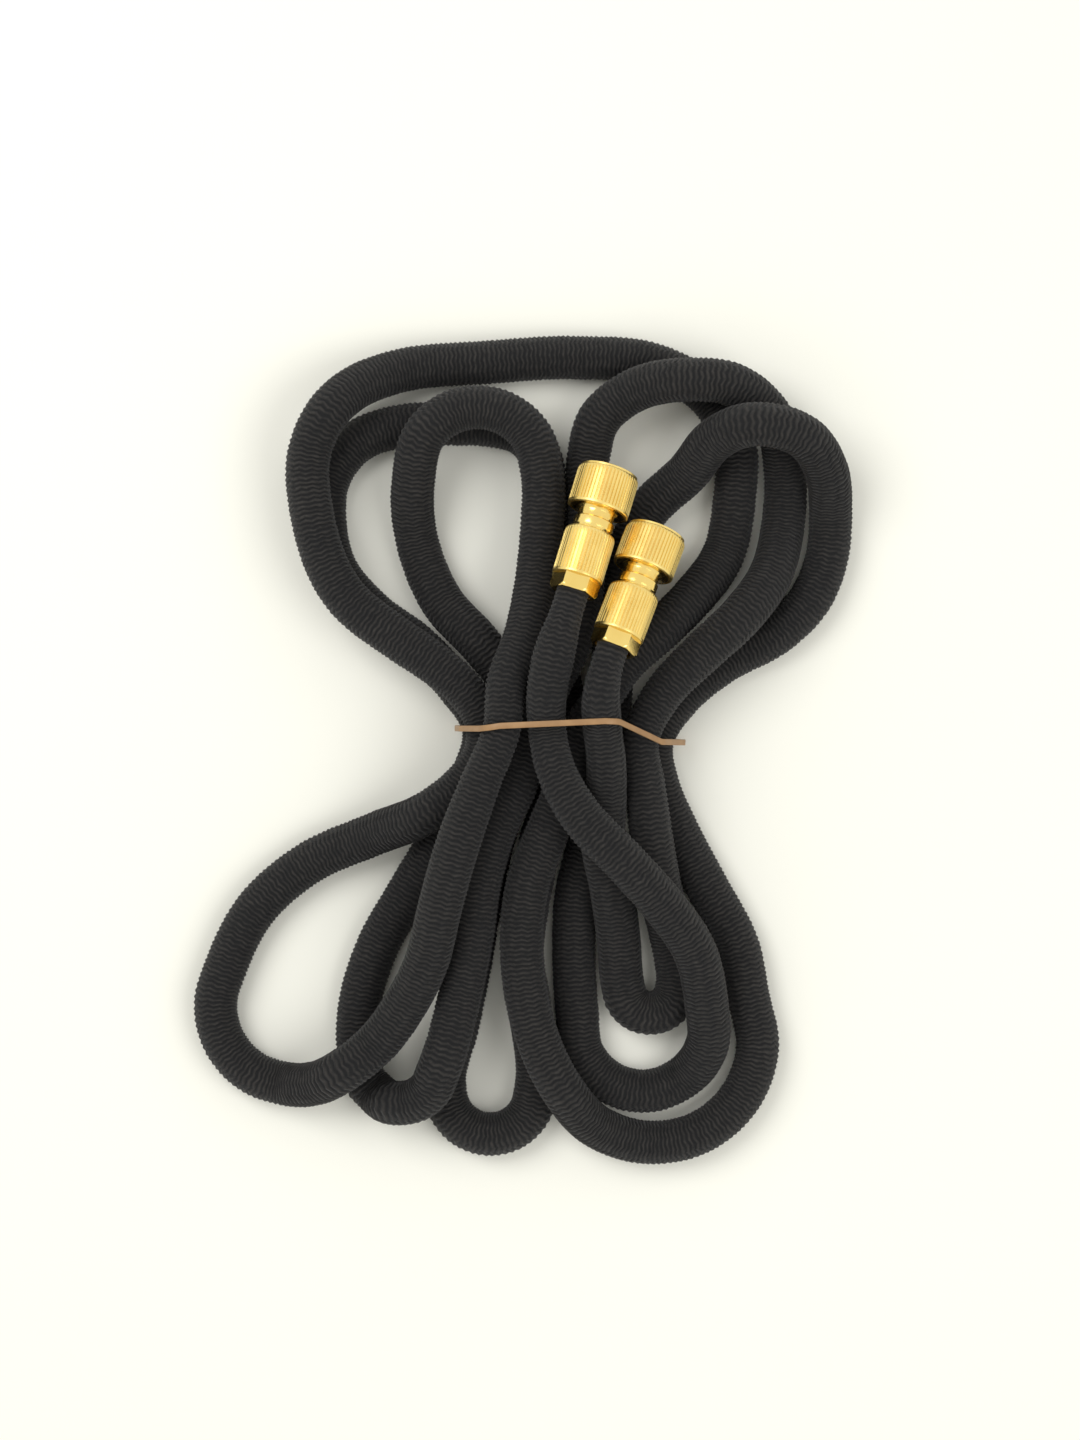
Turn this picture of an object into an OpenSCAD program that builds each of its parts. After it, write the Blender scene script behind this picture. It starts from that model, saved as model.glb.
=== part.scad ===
// Expandable garden hose, slack, folded into a fanned hank with a rubber band round its waist.
// A quick connector on each end has a sprung release collar, locking balls and a screwed hose nut.

/* [Hose] */
// Outer diameter of the gathered sleeve in the loops
hose_d = 18; // [16.6:0.2:18]
// Outer diameter where the band draws the runs together
waist_d = 15.6; // [14:0.2:15.6]
// Bore of the woven sleeve
sleeve_bore_d = 12.2; // [12:0.1:12.4]
// Outer diameter of the inner tube
tube_d = 11.8; // [11:0.1:11.8]
// Bore of the inner tube away from its ends
tube_bore_d = 8.2; // [6:0.2:8.4]
// Outer diameter of the sleeve inside the hose nut
clamped_d = 13.2; // [13:0.1:13.2]

/* [Band] */
// Width of the rubber band
band_w = 2.4; // [1:0.2:4]
// Thickness of the rubber band
band_t = 0.8; // [0.4:0.1:0.8]

/* [Connector] */
// Bore of the mouth, which the plug enters
mouth_d = 16.2; // [15.8:0.1:16.2]
// Outer diameter of the release collar over its knurl
collar_d = 24.8; // [24.6:0.1:26]
// Teeth round the collar
collar_teeth = 52; // [32:1:60]
// Outer diameter of the hose nut over its knurl
nut_d = 20.4; // [20.2:0.1:21]
// Teeth round the hose nut
nut_teeth = 44; // [28:1:52]
// Circle through the corners of the nut's hex end
nut_hex_d = 19.4; // [19:0.1:20]
// Pitch of the thread under the nut
thread_pitch = 1.4; // [1:0.1:1.8]
// Diameter of the locking balls
ball_d = 3; // [2.8:0.1:3]

/* [Hidden] */

$fn = 64;
BRASS = "#c9a24a";
SLEEVE = "#24211f";
STEEL = "#b9bcbf";
RUBBER = "#1b1b1b";
LATEX = "#3a3f45";
TAN = "#b98a55";

// ---- Where the connectors lie: centre of the mouth, tilt from +Y in plan, pitch up to the hose ----
CONN_A = [[35, 111.5, 39], 17, 12];
CONN_B = [[54, 87.5, 36.5], 21, 15];

// Direction of a connector's axis, from its mouth to the hose
function axis_of(c) = [-sin(c[1]) * cos(c[2]), -cos(c[1]) * cos(c[2]), sin(c[2])];
// Point on that axis at a distance from the mouth
function along(c, s) = c[0] + s * axis_of(c);

// Puts a shape drawn along +Z from the mouth where the connector lies
module place(c)
    translate(c[0])
        rotate([90 - c[2], 0, -c[1]])
            children();

// ---- Route of the hose's centre line, end a to end b ----
// Height of a run that lies on the floor, where the round sleeve is pressed flat by a tenth
FLOOR = 7.2;
// Heights of the three rows of runs at the waist
ROW = [9, 26, 43];
WAIST_Y = 6;
// The sleeve's end lies this far behind the mouth, and runs straight to the second value
HOSE_END = 38.1;
STRAIGHT_END = 57.5;

// Points of an arc in plan with a steady rise
function arc(c, r, a0, a1, z0, z1) =
    let (n = max(1, ceil(abs(a1 - a0) / 35)))
    [for (k = [0 : n])
        let (a = a0 + (a1 - a0) * k / n)
        [c[0] + r * cos(a), c[1] + r * sin(a), z0 + (z1 - z0) * k / n]];

// Each loop of the fan runs from one place in the waist to the next
end_a = [along(CONN_A, HOSE_END), along(CONN_A, STRAIGHT_END), [13, 39, 52], [10, 24, 49], [10, 9, ROW[2]]];
lower_right_2 = concat([[13, -6, 45], [23, -25, 47], [40, -43, 46], [56, -61, 39], [69, -80, 31]],
    arc([49, -112], 27, 20, -50, 22, FLOOR), arc([49, -112], 27, -85, -190, FLOOR, FLOOR),
    [[21, -82, FLOOR], [22, -59, FLOOR], [27, -39, FLOOR], [33.5, -16, 8], [36.5, 9, ROW[0]]]);
upper_right_3 = concat([[37, 25, 8], [37, 41, FLOOR], [38, 57, FLOOR], [42, 76, 8], [50, 96, 10]],
    arc([95, 100], 30.5, 155, 125, 15, 27), [[92, 130, 38]], arc([95, 100], 30.5, 60, -5, 36, 10),
    [[124, 78, FLOOR], [117, 61, FLOOR], [104, 48, FLOOR], [81, 35, FLOOR], [64, 20, 8], [54, 3, ROW[0]]]);
lower_right_1 = concat([[56, -14, 8], [63, -32, FLOOR], [75, -55, FLOOR], [88, -80, FLOOR]],
    arc([54, -118], 42, 25, -95, FLOOR, FLOOR), arc([54, -118], 42, -120, -155, 12, 25),
    [[6, -115, 26], [0, -84, 26], [2, -55, 26], [10, -33, 26], [18, -12, 26], [24, 9, ROW[1]]]);
upper_left_1 = concat([[32, 21, 26], [41, 35, 26], [55, 48, 23], [69, 62, 16], [82, 80, FLOOR]],
    arc([44, 114], 44, -15, 75, FLOOR, FLOOR), [[22, 160, FLOOR], [-13, 158, 9]],
    arc([-42, 110], 44.5, 105, 145, 13, 26), arc([-42, 110], 44.5, 170, 195, 26, 26),
    [[-71, 62, 26], [-50, 45, 26], [-34, 34, 26]], arc([-39, 6], 24, 45, -45, 26, 26));
lower_left_1 = concat([[-37, -24, 26], [-60, -34, 13], [-87, -46, FLOOR], [-108, -64, FLOOR]],
    arc([-93, -104], 32, 150, 265, FLOOR, 9), arc([-93, -104], 32, 285, 308, 17, 27),
    [[-58, -117, 28], [-47, -102, 31], [-38, -84, 36], [-33, -64, 41], [-26, -39, 44], [-17, -14, 44],
        [-8, 9, ROW[2]]]);
upper_left_2 = concat([[-6, 27, 40], [1, 45, 34], [6, 70, 27], [8, 90, 26]],
    arc([-18, 112], 26, 0, 140, 26, 26),
    [[-44, 109, 18], [-43, 86, 8], [-33, 61, 9], [-16, 42, 14], [-4, 25, 12], [1, 9, ROW[0]]]);
lower_middle = concat([[-4, -14, 8], [-12, -37, FLOOR], [-17, -61, FLOOR], [-21, -86, FLOOR], [-26, -111, FLOOR]],
    arc([-13, -138], 18.5, 180, 360, FLOOR, FLOOR),
    [[3, -105, FLOOR], [0, -82, FLOOR], [3, -59, FLOOR], [7.5, -37, FLOOR], [14.5, -14, 8], [19, 9, ROW[0]]]);
upper_left_3 = concat([[16, 27, 8], [11, 47, FLOOR], [9, 74, FLOOR], [9, 94, FLOOR]],
    arc([-11, 112], 20, 0, 90, FLOOR, FLOOR), [[-30, 133, FLOOR]],
    arc([-48, 99], 33, 95, 190, FLOOR, FLOOR),
    [[-76, 74, FLOOR], [-62, 57, FLOOR], [-42, 42, FLOOR], [-27, 26, 8], [-17, 9, ROW[0]]]);
lower_left_2 = concat([[-21, -10, 8], [-32, -33, FLOOR], [-46, -57, FLOOR], [-59, -80, FLOOR], [-66, -102, FLOOR]],
    arc([-50, -126], 16.5, 180, 235, FLOOR, 9), arc([-50, -126], 16.5, 265, 350, 19, 28),
    [[-24, -94, 26], [-20, -74, 26], [-17, -53, 26], [-11, -32, 26], [-1, -12, 26], [5, 9, ROW[1]]]);
upper_right_2 = concat([[12, 27, 27], [20, 45, 25], [25, 70, 20], [26.5, 94, 17]],
    arc([53, 120], 26, 180, 115, 14, 20), arc([73, 115], 34, 95, 75, 28, 27), arc([73, 115], 34, 45, 0, 20, 8),
    [[106, 90, FLOOR], [101, 72, 15], [88, 54, 24], [72, 39, 26], [56, 22, 26], [47.5, 4, ROW[1]]]);
lower_right_3 = concat([[49.5, -14, 25.5], [52, -35, 24], [56, -57, 16.5], [61, -78, FLOOR]],
    arc([52, -96], 11, 0, -180, FLOOR, 11),
    [[39, -76, 15], [36, -55, 21.5], [32.5, -37, 26.5], [33.5, -18, 32], [33.5, -4, 38.5], [32, 9, ROW[2]]]);
end_b = [[31.5, 24, 51], along(CONN_B, STRAIGHT_END), along(CONN_B, HOSE_END)];
route = concat(end_a, lower_right_2, upper_right_3, lower_right_1, upper_left_1, lower_left_1, upper_left_2,
    lower_middle, upper_left_3, lower_left_2, upper_right_2, lower_right_3, end_b);

// ---- Smooth centre line through the route, cut into rings ----
SIDES = 6;
RING_STEP = 17;
last = len(route) - 1;

function unit(v) = v / norm(v);
function ease(t) = let (u = min(1, max(0, t))) u * u * (3 - 2 * u);

chord = [for (i = [0 : last - 1]) norm(route[i + 1] - route[i])];
heading = [for (i = [0 : last])
    i == 0 ? unit(route[1] - route[0]) :
    i == last ? unit(route[last] - route[last - 1]) :
    unit(chord[i] / chord[i - 1] * (route[i] - route[i - 1])
        + chord[i - 1] / chord[i] * (route[i + 1] - route[i]))];

// Cubic between two points of the route with a heading at each
function between(i, t) =
    (2 * pow(t, 3) - 3 * t * t + 1) * route[i] + (3 * t * t - 2 * pow(t, 3)) * route[i + 1]
    + chord[i] * ((pow(t, 3) - 2 * t * t + t) * heading[i] + (pow(t, 3) - t * t) * heading[i + 1]);

line = concat(
    [for (i = [0 : last - 1])
        let (k = max(1, round(chord[i] / RING_STEP)))
        for (j = [0 : k - 1])
            between(i, j / k)],
    [route[last]]);
rings = len(line);

// Distance along the hose from end a to each ring
run = [for (i = 0, s = 0; i < rings; s = s + (i < rings - 1 ? norm(line[i + 1] - line[i]) : 0), i = i + 1) s];
hose_length = run[rings - 1];
function from_end(i) = min(run[i], hose_length - run[i]);

// Directions of a ring: sideways and up, square to the hose
function ahead(i) = i == 0 ? heading[0] : i == rings - 1 ? heading[last] : unit(line[i + 1] - line[i - 1]);
function sideways(i) = unit(cross(ahead(i), [0, 0, 1]));
function upward(i) = cross(sideways(i), ahead(i));

// Radius of the sleeve: full in the loops, less at the waist, least inside the nuts
STRAIGHT_RUN = STRAIGHT_END - HOSE_END;
SWELL = 26;
WAIST_REACH = 45;
function free_radius(i) =
    waist_d / 2 + (hose_d - waist_d) / 2 * ease(abs(line[i][1] - WAIST_Y) / WAIST_REACH);
function sleeve_radius(i) =
    let (grown = ease((from_end(i) - STRAIGHT_RUN) / SWELL))
    clamped_d / 2 * (1 - grown) + free_radius(i) * grown;
sleeve_radii = [for (i = [0 : rings - 1]) sleeve_radius(i)];

// Bore of the inner tube: stretched over the barb, free elsewhere
BARB_BORE = 5;
tube_radii = [for (i = [0 : rings - 1]) from_end(i) < STRAIGHT_RUN + 1 ? BARB_BORE : tube_bore_d / 2];

// Corners of a ring, with a side down, and none below the floor
function corners(i, r) =
    [for (k = [0 : SIDES - 1])
        let (a = k * 360 / SIDES, p = line[i] + r * (cos(a) * sideways(i) + sin(a) * upward(i)))
        [p[0], p[1], max(0, p[2])]];

// ---- Least gap of the sleeve to itself, between pieces of the line that aren't neighbours ----
NEAR_RUN = 50;
NEAR = 32;
middle = [for (i = [0 : rings - 2]) (line[i] + line[i + 1]) / 2];

function clip01(t) = min(1, max(0, t));
function mix(values, i, t) = values[i] + t * (values[i + 1] - values[i]);
// Where along two pieces of the line they come nearest, each from 0 to 1
function nearest(i, j) =
    let (u = line[i + 1] - line[i], v = line[j + 1] - line[j], w = line[i] - line[j],
        a = u * u, b = u * v, e = v * v, c = u * w, f = v * w, d = a * e - b * b,
        s = d > 0.000001 ? clip01((b * f - c * e) / d) : 0,
        t = (b * s + f) / e)
    t < 0 ? [clip01(-c / a), 0] : t > 1 ? [clip01((b - c) / a), 1] : [s, t];
function gap(i, j) =
    let (at = nearest(i, j))
    norm(mix(line, i, at[0]) - mix(line, j, at[1])) - mix(sleeve_radii, i, at[0]) - mix(sleeve_radii, j, at[1]);
function gaps() =
    [for (i = [0 : rings - 3])
        for (j = [i + 1 : rings - 2])
            if (abs(run[j] - run[i]) > NEAR_RUN && norm(middle[i] - middle[j]) < NEAR)
                gap(i, j)];

echo(least_gap = min(gaps()), hose_length = hose_length, rings = rings);  // sleeve

// ---- Hose ----
// Hollow tube through the rings, from lists of outer and inner radii
module hollow_tube(outer, inner) {
    n = rings * SIDES;
    points = concat(
        [for (i = [0 : rings - 1]) each corners(i, outer[i])],
        [for (i = [0 : rings - 1]) each corners(i, inner[i])]);
    skins = [for (i = [0 : rings - 2])
        for (k = [0 : SIDES - 1])
            let (a = i * SIDES + k, b = i * SIDES + (k + 1) % SIDES, c = b + SIDES, d = a + SIDES)
            each [[a, b, c], [a, c, d], [n + a, n + c, n + b], [n + a, n + d, n + c]]];
    ends = [for (k = [0 : SIDES - 1])
        let (a = k, b = (k + 1) % SIDES, z = n - SIDES)
        each [[a, n + a, n + b], [a, n + b, b], [z + a, z + n + b, z + n + a], [z + a, z + b, z + n + b]]];
    polyhedron(points = points, faces = concat(skins, ends), convexity = 20);
}

module sleeve()
    color(SLEEVE)
        hollow_tube(sleeve_radii, [for (i = [0 : rings - 1]) sleeve_bore_d / 2]);

module inner_tube()
    color(LATEX)
        hollow_tube([for (i = [0 : rings - 1]) tube_d / 2], tube_radii);

// ---- Band round the waist ----
// The outermost runs where the band crosses them, in x and z
BAND_RUNS = [[-18.4, 9.3], [57.4, 9.3], [49.8, 26], [32.5, 43], [-8.8, 43.2], [-16.4, 26]];
BAND_CLEAR = 0.6;
BAND_Y = 8;
BAND_TURN = -2;

// Outline round the runs at a distance, with an arc at each
function wrap(centres, r) =
    let (n = len(centres))
    [for (i = [0 : n - 1])
        let (p = centres[i], e = p - centres[(i + n - 1) % n], g = centres[(i + 1) % n] - p,
            a0 = atan2(e[1], e[0]) - 90, turn = (atan2(g[1], g[0]) - 90 - a0 + 720) % 360)
        for (k = [0 : 6])
            p + r * [cos(a0 + turn * k / 6), sin(a0 + turn * k / 6)]];

module waist_band()
    color(TAN)
        translate([0, BAND_Y, 0])
            rotate([90, 0, BAND_TURN])
                linear_extrude(band_w, center = true)
                    difference() {
                        polygon(wrap(BAND_RUNS, waist_d / 2 + BAND_CLEAR + band_t));
                        polygon(wrap(BAND_RUNS, waist_d / 2 + BAND_CLEAR));
                    }

// ---- Connector, drawn along +Z from its mouth ----
MOUTH_R = mouth_d / 2;
NOSE_R = 9.9;
MOUTH_DEPTH = 13;
LEAD_R = MOUTH_R + 0.3;
LEAD_Z = 3.8;
CLIP_Z = [0.6, 1.5];
CLIP_GROOVE_R = 9.4;
FLANGE_Z = [16, 17.6];
FLANGE_R = 11.05;
NECK_R = 7.3;
NECK_RING_Z = [21.6, 25];
NECK_RING_R = 8.1;
THREAD_Z = [26.4, 36];
THREAD_R = 8.4;
THREAD_DEPTH = 0.5;
SHANK_END = 38;
TAIL_END = 50;
TAIL_R = 3.9;
BARB_R = 4.25;
PASSAGE_R = 3;
BARBS = 4;
EDGE = 0.4;

BALL_R = ball_d / 2;
BALL_Z = 5.8;
BALL_LOCKED_R = 9;
BALL_SEAT_R = 1.27;
POCKET_PLAY = 0.07;
BALLS = 3;

// Male thread as rings of its own pitch, from the front to the back
function thread_edge(z0, z1, crest, root, pitch) =
    [for (i = [0 : floor((z1 - z0) / pitch) - 1])
        let (z = z0 + i * pitch)
        each [[crest, z], [crest, z + pitch * 0.3], [root, z + pitch * 0.55], [root, z + pitch * 0.75]]];

// Tail that the inner tube is pushed over, with one-way ridges
function barb_edge(z0, z1, crest, root, n) =
    [for (i = [0 : n - 1])
        let (p = (z1 - z0) / n, z = z0 + i * p)
        each [[root, z], [crest, z + 0.3], [crest, z + 0.7], [root, z + p - 0.1]]];

module connector_body()
    color(BRASS)
        difference() {
            rotate_extrude()
                polygon(concat(
                    [[PASSAGE_R, MOUTH_DEPTH + 2], [MOUTH_R, MOUTH_DEPTH], [MOUTH_R, LEAD_Z + 0.3],
                        [LEAD_R, LEAD_Z], [LEAD_R, EDGE], [LEAD_R + EDGE, 0], [NOSE_R - EDGE / 2, 0], [NOSE_R, EDGE / 2], [NOSE_R, CLIP_Z[0]],
                        [CLIP_GROOVE_R, CLIP_Z[0]], [CLIP_GROOVE_R, CLIP_Z[1]], [NOSE_R, CLIP_Z[1]],
                        [NOSE_R, FLANGE_Z[0]], [FLANGE_R, FLANGE_Z[0]], [FLANGE_R, FLANGE_Z[1]],
                        [NECK_R + 1, FLANGE_Z[1]], [NECK_R, FLANGE_Z[1] + 1], [NECK_R, NECK_RING_Z[0]],
                        [NECK_RING_R - EDGE, NECK_RING_Z[0]], [NECK_RING_R, NECK_RING_Z[0] + EDGE],
                        [NECK_RING_R, NECK_RING_Z[1]], [THREAD_R - THREAD_DEPTH, NECK_RING_Z[1] + 0.3]],
                    thread_edge(THREAD_Z[0], THREAD_Z[1], THREAD_R, THREAD_R - THREAD_DEPTH, thread_pitch),
                    [[THREAD_R, THREAD_Z[1]], [THREAD_R, SHANK_END - EDGE], [THREAD_R - EDGE, SHANK_END]],
                    barb_edge(SHANK_END, TAIL_END, BARB_R, TAIL_R, BARBS),
                    [[TAIL_R, TAIL_END], [PASSAGE_R, TAIL_END]]));
            ball_pockets();
            seal_groove();
        }

// Radial seats, narrower at the bore so that the balls stay in
module ball_pockets()
    for (k = [0 : BALLS - 1])
        rotate([0, 0, k * 360 / BALLS])
            translate([0, 0, BALL_Z])
                rotate([0, 90, 0]) {
                    translate([0, 0, MOUTH_R - 0.3])
                        cylinder(h = 1, r1 = BALL_SEAT_R - 0.13, r2 = BALL_R + POCKET_PLAY);
                    translate([0, 0, MOUTH_R + 0.7])
                        cylinder(h = NOSE_R, r = BALL_R + POCKET_PLAY);
                }

// O-ring in a groove behind the balls
SEAL_Z = 10.5;
SEAL_W = 0.75;
SEAL_R = 8.35;
SEAL_FLOOR = 9.15;
module seal_groove()
    translate([0, 0, SEAL_Z - SEAL_W - 0.1])
        cylinder(h = 2 * SEAL_W + 0.2, r = SEAL_FLOOR);

module connector_seal()
    color(RUBBER)
        translate([0, 0, SEAL_Z])
            rotate_extrude()
                translate([SEAL_R, 0])
                    circle(r = SEAL_W, $fn = 32);

// Snap ring in front of the collar, with a gap to spread it
CLIP_R = [9.45, 11.6];
CLIP_GAP = 4;
module connector_clip()
    color(STEEL)
        translate([0, 0, CLIP_Z[0] + 0.05])
            difference() {
                cylinder(h = CLIP_Z[1] - CLIP_Z[0] - 0.1, r = CLIP_R[1]);
                translate([0, 0, -1])
                    cylinder(h = CLIP_Z[1] + 1, r = CLIP_R[0]);
                translate([0, -CLIP_GAP / 2, -1])
                    cube([CLIP_R[1] + 1, CLIP_GAP, CLIP_Z[1] + 1]);
            }

// Balls that lock in the plug's groove
module connector_ball(k)
    color(STEEL)
        rotate([0, 0, k * 360 / BALLS])
            translate([BALL_LOCKED_R, 0, BALL_Z])
                sphere(r = BALL_R);

// Star outline of a straight knurl
function knurl(r, depth, teeth) =
    [for (k = [0 : 2 * teeth - 1])
        (r - (k % 2) * depth) * [cos(k * 180 / teeth), sin(k * 180 / teeth)]];

// What a knurl takes off a round piece
module knurl_cut(r, depth, teeth, z0, z1)
    translate([0, 0, z0])
        linear_extrude(z1 - z0)
            difference() {
                circle(r = r + 2);
                polygon(knurl(r + 0.05, depth, teeth));
            }

// Release collar, with a cone over the balls and a chamber for the spring
COLLAR_R = collar_d / 2;
COLLAR_Z = [1.5, 17.6];
COLLAR_KNURL = 0.4;
COLLAR_BAND = 1;
CONE_R = 10.57;
CONE_SLOPE = 0.17;
LAND_R = 10.15;
LAND_Z = [7.2, 8.6];
CHAMBER_R = 11.2;
function cone_r(z) = CONE_R + CONE_SLOPE * (BALL_Z - z);
module connector_collar()
    color(BRASS)
        difference() {
            rotate_extrude()
                polygon([[cone_r(COLLAR_Z[0]), COLLAR_Z[0]], [COLLAR_R - 0.9, COLLAR_Z[0]],
                    [COLLAR_R - 0.4, COLLAR_Z[0] + 0.5], [COLLAR_R - 0.1, COLLAR_Z[0] + 1.3],
                    [COLLAR_R, COLLAR_Z[0] + 2.2], [COLLAR_R, COLLAR_Z[1] - EDGE],
                    [COLLAR_R - EDGE, COLLAR_Z[1]], [CHAMBER_R, COLLAR_Z[1]], [CHAMBER_R, LAND_Z[1]],
                    [LAND_R, LAND_Z[1]], [LAND_R, LAND_Z[0]], [cone_r(LAND_Z[0]), LAND_Z[0]]]);
            knurl_cut(COLLAR_R, COLLAR_KNURL, collar_teeth, COLLAR_Z[0] - 1, COLLAR_Z[1] - COLLAR_BAND);
        }

// Washer between the collar's step and the spring
WASHER_R = [10.05, 11.1];
WASHER_Z = [8.6, 9.3];
module connector_washer()
    color(STEEL)
        translate([0, 0, WASHER_Z[0]])
            difference() {
                cylinder(h = WASHER_Z[1] - WASHER_Z[0], r = WASHER_R[1]);
                translate([0, 0, -1])
                    cylinder(h = WASHER_Z[1], r = WASHER_R[0]);
            }

// Compression spring from the washer to the body's flange
SPRING_R = 10.55;
WIRE_R = 0.4;
SPRING_TURNS = 3;
TURN_RINGS = 24;
WIRE_SIDES = 6;
module connector_spring() {
    n = SPRING_TURNS * TURN_RINGS;
    z0 = WASHER_Z[1] + WIRE_R + 0.03;
    rise = FLANGE_Z[0] - WIRE_R - 0.03 - z0;
    points = [for (i = [0 : n])
        let (a = i * 360 / TURN_RINGS)
        for (k = [0 : WIRE_SIDES - 1])
            let (b = k * 360 / WIRE_SIDES, r = SPRING_R + WIRE_R * cos(b))
            [r * cos(a), r * sin(a), z0 + rise * i / n + WIRE_R * sin(b)]];
    skin = [for (i = [0 : n - 1])
        for (k = [0 : WIRE_SIDES - 1])
            let (a = i * WIRE_SIDES + k, b = i * WIRE_SIDES + (k + 1) % WIRE_SIDES)
            each [[a, b, b + WIRE_SIDES], [a, b + WIRE_SIDES, a + WIRE_SIDES]]];
    ends = [for (k = [1 : WIRE_SIDES - 2])
        each [[0, k + 1, k], [n * WIRE_SIDES, n * WIRE_SIDES + k, n * WIRE_SIDES + k + 1]]];
    color(STEEL)
        polyhedron(points = points, faces = concat(skin, ends), convexity = 10);
}

// Collet that grips the sleeve, slit from its back
COLLET_Z = [38.4, 45.4];
COLLET_R = [8.05, 7.35];
COLLET_BORE = 6.72;
SLITS = 4;
SLIT_W = 1;
module connector_collet()
    color(RUBBER)
        difference() {
            rotate_extrude()
                polygon([[COLLET_BORE, COLLET_Z[0]], [COLLET_R[0], COLLET_Z[0]],
                    [COLLET_R[1], COLLET_Z[1]], [COLLET_BORE, COLLET_Z[1]]]);
            for (k = [0 : SLITS - 1])
                rotate([0, 0, k * 360 / SLITS])
                    translate([0, -SLIT_W / 2, COLLET_Z[0] + 2])
                        cube([COLLET_R[0] + 1, SLIT_W, COLLET_Z[1]]);
        }

// Hose nut: thread bore in front, cone over the collet, hex at the back
NUT_R = nut_d / 2;
NUT_Z = [26.6, 46.4, 52.6];
NUT_KNURL = 0.35;
NUT_BORE = 8.5;
NUT_BACK_BORE = 7;
HEX_R = nut_hex_d / 2;
CONE_PLAY = 0.12;
module connector_nut()
    color(BRASS) {
        difference() {
            rotate_extrude()
                polygon([[NUT_BORE + EDGE, NUT_Z[0]], [NUT_R - 1.1, NUT_Z[0]], [NUT_R - 0.5, NUT_Z[0] + 0.6],
                    [NUT_R - 0.12, NUT_Z[0] + 1.6], [NUT_R, NUT_Z[0] + 2.8], [NUT_R, NUT_Z[1] - EDGE],
                    [NUT_R - EDGE, NUT_Z[1]], [NUT_BACK_BORE, NUT_Z[1]],
                    [COLLET_R[1] + CONE_PLAY, COLLET_Z[1] + 0.2], [COLLET_R[0] + CONE_PLAY, COLLET_Z[0] - 0.2],
                    [NUT_BORE, COLLET_Z[0] - 0.8], [NUT_BORE, NUT_Z[0] + EDGE]]);
            knurl_cut(NUT_R, NUT_KNURL, nut_teeth, NUT_Z[0] - 1, NUT_Z[1] - COLLAR_BAND);
        }
        difference() {
            translate([0, 0, NUT_Z[1] - 0.2])
                cylinder(h = NUT_Z[2] - NUT_Z[1] + 0.2, r = HEX_R, $fn = 6);
            translate([0, 0, NUT_Z[1] - 1])
                cylinder(h = NUT_Z[2], r = NUT_BACK_BORE);
            translate([0, 0, NUT_Z[1] - 0.2])
                rotate_extrude()
                    polygon([[HEX_R + 1, 4.6], [HEX_R + 1, 8], [HEX_R - 1.2, 8], [HEX_R - 0.6, 6.1], [HEX_R, 5.2]]);
        }
    }

module body_a() place(CONN_A) connector_body();
module release_collar_a() place(CONN_A) connector_collar();
module thrust_washer_a() place(CONN_A) connector_washer();
module return_spring_a() place(CONN_A) connector_spring();
module ball_1_a() place(CONN_A) connector_ball(0);
module ball_2_a() place(CONN_A) connector_ball(1);
module ball_3_a() place(CONN_A) connector_ball(2);
module retaining_clip_a() place(CONN_A) connector_clip();
module o_ring_a() place(CONN_A) connector_seal();
module collet_a() place(CONN_A) connector_collet();
module hose_nut_a() place(CONN_A) connector_nut();

module body_b() place(CONN_B) connector_body();
module release_collar_b() place(CONN_B) connector_collar();
module thrust_washer_b() place(CONN_B) connector_washer();
module return_spring_b() place(CONN_B) connector_spring();
module ball_1_b() place(CONN_B) connector_ball(0);
module ball_2_b() place(CONN_B) connector_ball(1);
module ball_3_b() place(CONN_B) connector_ball(2);
module retaining_clip_b() place(CONN_B) connector_clip();
module o_ring_b() place(CONN_B) connector_seal();
module collet_b() place(CONN_B) connector_collet();
module hose_nut_b() place(CONN_B) connector_nut();

sleeve();
inner_tube();
waist_band();
body_a();
release_collar_a();
thrust_washer_a();
return_spring_a();
ball_1_a();
ball_2_a();
ball_3_a();
retaining_clip_a();
o_ring_a();
collet_a();
hose_nut_a();
body_b();
release_collar_b();
thrust_washer_b();
return_spring_b();
ball_1_b();
ball_2_b();
ball_3_b();
retaining_clip_b();
o_ring_b();
collet_b();
hose_nut_b();
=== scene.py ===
"""Hank of slack expandable garden hose, with a quick connector on each end."""

import math

import bmesh
import bpy
from mathutils import Matrix, Vector


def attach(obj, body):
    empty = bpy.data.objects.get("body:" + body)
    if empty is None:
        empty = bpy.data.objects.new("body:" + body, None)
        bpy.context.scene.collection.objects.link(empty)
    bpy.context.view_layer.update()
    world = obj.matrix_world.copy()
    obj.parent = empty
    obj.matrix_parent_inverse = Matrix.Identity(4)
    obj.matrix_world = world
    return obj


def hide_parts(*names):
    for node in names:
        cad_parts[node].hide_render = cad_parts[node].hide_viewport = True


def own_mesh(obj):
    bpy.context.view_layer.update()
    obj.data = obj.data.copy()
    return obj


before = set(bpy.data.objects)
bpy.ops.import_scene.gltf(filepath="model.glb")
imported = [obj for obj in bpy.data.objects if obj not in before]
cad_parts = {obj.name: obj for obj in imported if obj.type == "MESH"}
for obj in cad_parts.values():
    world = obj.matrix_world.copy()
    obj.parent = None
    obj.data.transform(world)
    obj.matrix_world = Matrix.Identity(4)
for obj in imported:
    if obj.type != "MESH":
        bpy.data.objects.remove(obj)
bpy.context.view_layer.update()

# ---- Camera ---------------------------------------------------------------------------------
# Straight above the hank, which lies flat with its connectors towards the top of the view.
# The focal length follows from the height of the view on the floor.
CAMERA_HEIGHT = 1.3
CAMERA_OVER = (0.0072, 0.0123)
FLOOR_SEEN = 0.5904

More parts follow.
